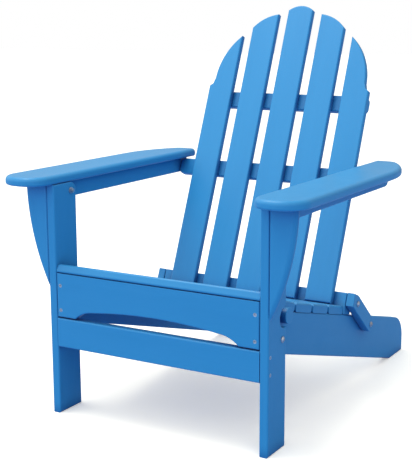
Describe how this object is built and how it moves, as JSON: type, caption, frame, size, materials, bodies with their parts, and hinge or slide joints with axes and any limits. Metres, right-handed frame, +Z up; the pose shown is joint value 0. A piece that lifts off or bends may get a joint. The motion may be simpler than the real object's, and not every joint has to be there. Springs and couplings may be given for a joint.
{
  "type": "folding adirondack chair",
  "caption": "Blue plastic-lumber adirondack chair with a fan back and wide arms; it folds flat on bolted legs, arms and links.",
  "frame": {"origin": "on the floor under the middle of the chair's plan", "axes": "+X to the right seen from the front, +Y to the rear, +Z up"},
  "size_m": [0.814, 0.994, 1.0133],
  "materials": {
    "lumber": "satin, moulded-in colour with a faint brushed grain",
    "steel": "satin stainless"
  },
  "bodies": {
    "seat_frame": {"side_rail_left": "lumber", "side_rail_right": "lumber", "front_apron": "lumber", "seat_slat_1": "lumber", "seat_slat_2": "lumber", "seat_slat_3": "lumber", "seat_slat_4": "lumber", "seat_slat_5": "lumber", "seat_screws": "steel", "apron_screws": "steel", "leg_boss_left": "lumber", "leg_boss_right": "lumber", "boss_screws": "steel", "leg_pivot_bolts": "steel", "leg_pivot_washers": "steel", "leg_pivot_nuts": "steel", "link_foot_bolts": "steel", "link_foot_washers": "steel", "link_foot_nuts": "steel"},
    "legs": {"front_leg_left": "lumber", "front_leg_right": "lumber", "stretcher": "lumber", "arm_bracket_left": "lumber", "arm_bracket_right": "lumber", "stretcher_screws": "steel", "arm_front_studs": "steel", "arm_front_inner_washers": "steel", "arm_front_nuts": "steel"},
    "right_arm": {"arm_right": "lumber", "arm_rail_right": "lumber", "arm_screws_right": "steel", "arm_front_bolt_right": "steel", "arm_front_washer_right": "steel"},
    "left_arm": {"arm_left": "lumber", "arm_rail_left": "lumber", "arm_screws_left": "steel", "arm_front_bolt_left": "steel", "arm_front_washer_left": "steel"},
    "right_link": {"link_right": "lumber"},
    "left_link": {"link_left": "lumber"},
    "back": {"back_slat_1": "lumber", "back_slat_2": "lumber", "back_slat_3": "lumber", "back_slat_4": "lumber", "back_slat_5": "lumber", "upper_crossbar": "lumber", "middle_crossbar": "lumber", "lower_crossbar": "lumber", "back_screws": "steel", "link_top_bolts": "steel", "link_top_washers": "steel", "arm_rear_bolts": "steel", "arm_rear_washers": "steel"}
  },
  "joints": [
    {"name": "leg_fold", "type": "hinge", "parent": "seat_frame", "child": "legs", "pos_m": [0, -0.361, 0.262], "axis": [1, 0, 0], "range_deg": [0, 80]},
    {"name": "right_arm_fold", "type": "hinge", "parent": "back", "child": "right_arm", "pos_m": [0.316, 0.201, 0.557], "axis": [1, 0, 0], "range_deg": [-83.18, 0]},
    {"name": "left_arm_fold", "type": "hinge", "parent": "back", "child": "left_arm", "pos_m": [-0.316, 0.201, 0.557], "axis": [1, 0, 0], "range_deg": [-83.18, 0]},
    {"name": "right_link_fold", "type": "hinge", "parent": "seat_frame", "child": "right_link", "pos_m": [0.2933, 0.18, 0.162], "axis": [1, 0, 0], "range_deg": [-70.59, 0]},
    {"name": "left_link_fold", "type": "hinge", "parent": "seat_frame", "child": "left_link", "pos_m": [-0.2933, 0.18, 0.162], "axis": [1, 0, 0], "range_deg": [-70.59, 0]},
    {"name": "back_fold", "type": "hinge", "parent": "right_link", "child": "back", "pos_m": [0, 0.085, 0.241], "axis": [1, 0, 0], "range_deg": [0, 161.73]}
  ],
  "couplings": [
    {"joint": "right_arm_fold", "follows": "leg_fold", "ratio": -1.0392},
    {"joint": "left_arm_fold", "follows": "leg_fold", "ratio": -1.0392},
    {"joint": "right_link_fold", "follows": "leg_fold", "ratio": -0.88179},
    {"joint": "left_link_fold", "follows": "leg_fold", "ratio": -0.88179},
    {"joint": "back_fold", "follows": "leg_fold", "ratio": 2.0209}
  ]
}
